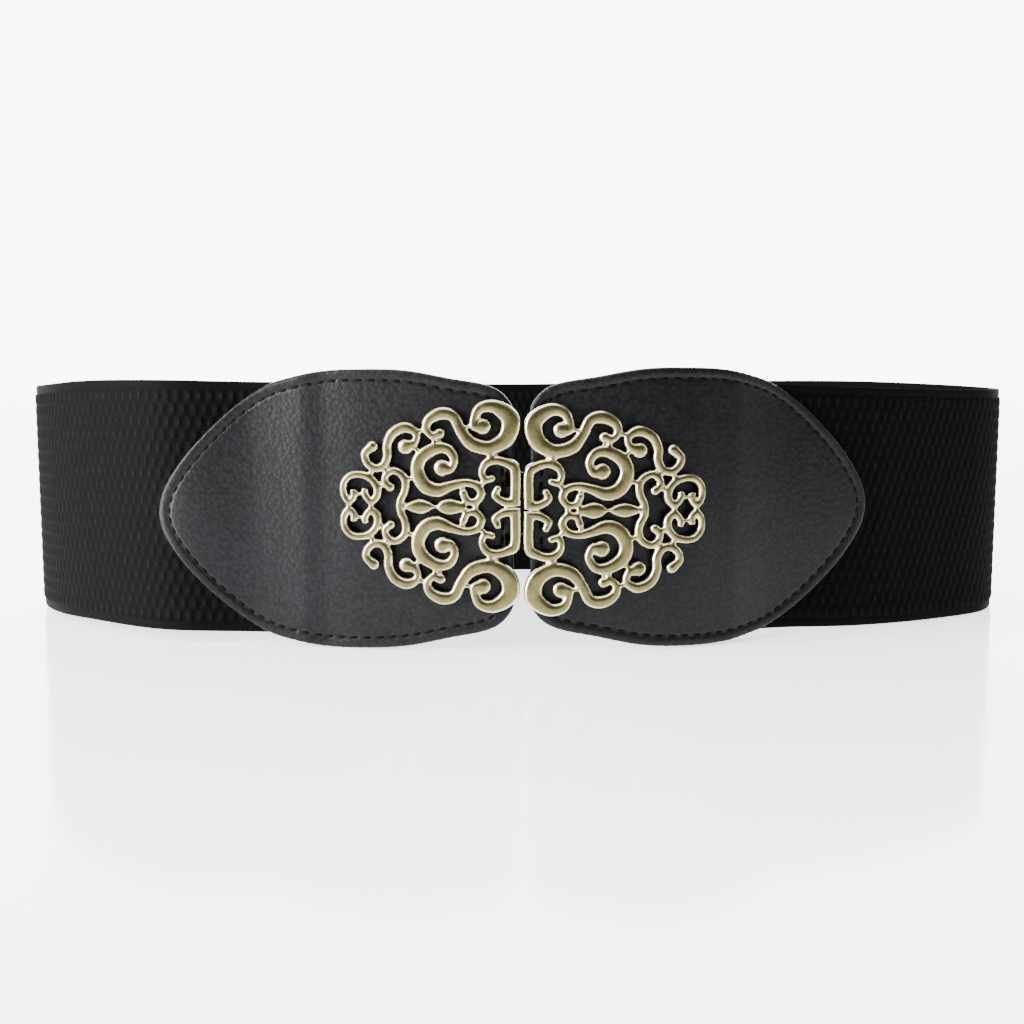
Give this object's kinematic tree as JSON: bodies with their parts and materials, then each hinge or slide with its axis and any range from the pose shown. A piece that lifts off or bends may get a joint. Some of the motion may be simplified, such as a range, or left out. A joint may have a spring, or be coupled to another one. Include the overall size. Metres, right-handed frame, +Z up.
{
  "type": "elastic stretch belt",
  "caption": "Wide elastic waist belt, fastened in a loop, with egg-shaped leather tabs and a pierced two-part cast scroll clasp.",
  "frame": {"origin": "centre of the footprint, on the surface that the belt stands on", "axes": "+X to the right along the front, -Y out of the clasp's face, +Z up"},
  "size_m": [0.3336, 0.1524, 0.0833],
  "materials": {
    "elastic": "woven black rubber elastic with a brick rib and smooth selvages",
    "tab_leather": "fine pebbled black leather, semi-gloss",
    "clasp_metal": "cast, antique brass plating with bright edges and dark recesses"
  },
  "bodies": {
    "root": {"elastic_band": "elastic", "left_tab": "tab_leather", "right_tab": "tab_leather", "left_clasp_plate": "clasp_metal", "right_clasp_plate": "clasp_metal"}
  },
  "joints": []
}
